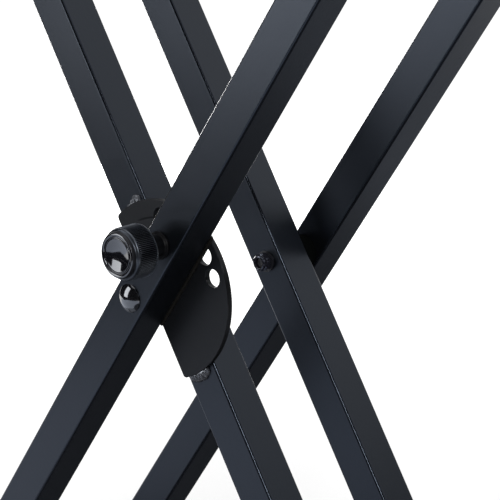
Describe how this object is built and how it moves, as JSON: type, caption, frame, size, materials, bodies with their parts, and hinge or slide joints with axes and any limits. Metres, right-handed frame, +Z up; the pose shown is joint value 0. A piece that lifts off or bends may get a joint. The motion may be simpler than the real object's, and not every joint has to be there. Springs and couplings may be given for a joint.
{
  "type": "folding keyboard stand",
  "caption": "Folding keyboard stand with crossed square-tube legs in double bracing, a holed locking disc and a sprung lock pin with a knurled knob.",
  "frame": {"origin": "middle of the stand's footprint on the floor, below the pivots", "axes": "+Z up; +Y along the pivots from the front (the knob's side) to the rear; +X to the right seen from the front"},
  "size_m": [0.5902, 0.456, 0.8641],
  "materials": {
    "leg_paint": "satin black",
    "disc_paint": "satin black",
    "weld_paint": "satin black, lumpy",
    "housing_paint": "satin black",
    "gloss_bolt": "gloss black",
    "black_nut": "gloss black",
    "washer_steel": "dark zinc",
    "black_bolt": "black oxide",
    "spacer_plastic": "matte dark grey",
    "bush_plastic": "matte natural",
    "plug_steel": "plain",
    "plug_plastic": "matte black",
    "foot_rubber": "matte black",
    "sleeve_rubber": "matte black",
    "cap_rubber": "satin black",
    "knob_plastic": "matte black",
    "cap_gloss": "gloss black",
    "spring_steel": "plain",
    "pin_steel": "plain"
  },
  "bodies": {
    "outer_frame": {"outer_front_leg": "leg_paint", "outer_rear_leg": "leg_paint", "wear_plate": "disc_paint", "front_pivot_bolt": "gloss_bolt", "front_pivot_washer": "washer_steel", "front_pivot_nut": "black_nut", "rear_pivot_bolt": "gloss_bolt", "rear_pivot_washer": "washer_steel", "rear_pivot_nut": "black_nut", "rear_pivot_spacer": "spacer_plastic", "plunger_housing": "housing_paint", "pin_spring": "spring_steel", "outer_leg_plugs": "plug_steel", "outer_foot_bar": "leg_paint", "outer_foot_cap": "foot_rubber", "outer_leveller_plug": "plug_plastic", "outer_leveller_washer": "washer_steel", "outer_leveller_screw": "black_bolt", "outer_top_bar": "leg_paint", "outer_top_sleeves": "sleeve_rubber", "outer_top_caps": "cap_rubber", "outer_bar_bolts": "black_bolt", "outer_bar_washers": "washer_steel"},
    "inner_frame": {"inner_front_leg": "leg_paint", "inner_rear_leg": "leg_paint", "pivot_bushes": "bush_plastic", "locking_disc": "disc_paint", "disc_welds": "weld_paint", "inner_leg_plugs": "plug_steel", "inner_foot_bar": "leg_paint", "inner_foot_cap": "foot_rubber", "inner_leveller_plug": "plug_plastic", "inner_leveller_washer": "washer_steel", "inner_leveller_screw": "black_bolt", "inner_top_bar": "leg_paint", "inner_top_sleeves": "sleeve_rubber", "inner_top_caps": "cap_rubber", "inner_bar_bolts": "black_bolt", "inner_bar_washers": "washer_steel"},
    "lock": {"lock_pin": "pin_steel", "pin_clip": "pin_steel", "stem_nut": "pin_steel"},
    "knob": {"knob_body": "knob_plastic", "knob_cap": "cap_gloss"},
    "outer_leveller": {"outer_leveller_cap": "foot_rubber"},
    "inner_leveller": {"inner_leveller_cap": "foot_rubber"}
  },
  "joints": [
    {"name": "fold", "type": "hinge", "parent": "outer_frame", "child": "inner_frame", "pos_m": [0, 0, 0.4316], "axis": [0, 1, 0], "range_deg": [-36, 60]},
    {"name": "lock_pull", "type": "slide", "parent": "outer_frame", "child": "lock", "axis": [0, -1, 0], "range_m": [-0.0075, 0.002], "deforming": ["pin_spring"]},
    {"name": "knob_turn", "type": "hinge", "parent": "lock", "child": "knob", "pos_m": [0.02931, -0.1364, 0.47588], "axis": [0, -1, 0], "continuous": true},
    {"name": "outer_leveller_turn", "type": "hinge", "parent": "outer_frame", "child": "outer_leveller", "pos_m": [-0.27045, 0.213, 0.023], "axis": [0, 1, 0], "range_deg": [-90, 90]},
    {"name": "inner_leveller_turn", "type": "hinge", "parent": "inner_frame", "child": "inner_leveller", "pos_m": [0.27045, 0.213, 0.023], "axis": [0, 1, 0], "range_deg": [-90, 90]}
  ]
}
